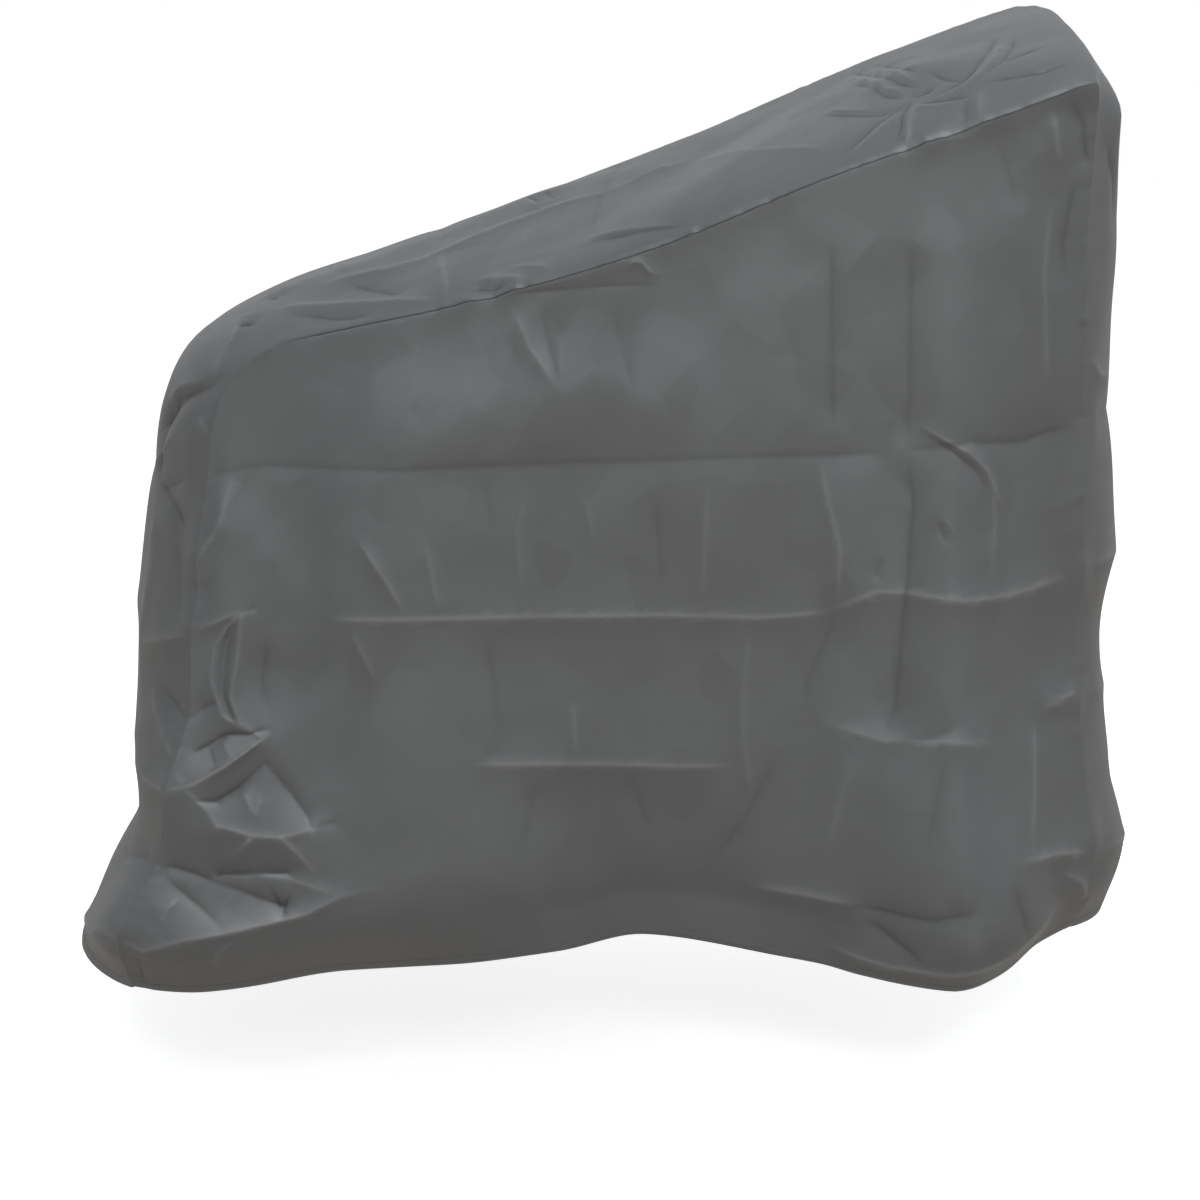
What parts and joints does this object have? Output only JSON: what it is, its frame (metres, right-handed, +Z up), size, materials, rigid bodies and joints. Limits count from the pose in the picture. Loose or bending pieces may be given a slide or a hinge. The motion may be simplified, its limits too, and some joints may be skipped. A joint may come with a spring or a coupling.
{
  "type": "exercise bike cover",
  "caption": "Fitted grey cloth dust cover for an exercise bike: a wedge with a sloping top, low rear, tall front and open, loosely hanging hem.",
  "frame": {"origin": "under the cloth of the sloping top, towards the front, where the handlebar of the covered machine holds the cover up", "axes": "+X towards the tall front, +Y towards the left side, +Z up"},
  "size_m": [1.2888, 0.6703, 1.1112],
  "materials": {
    "cloth": "grey woven polyester with a thin waterproof coating, a soft satin sheen and sharp packing creases"
  },
  "bodies": {
    "root": {"side_panel_right": "cloth", "side_panel_left": "cloth", "gusset": "cloth"}
  },
  "joints": []
}
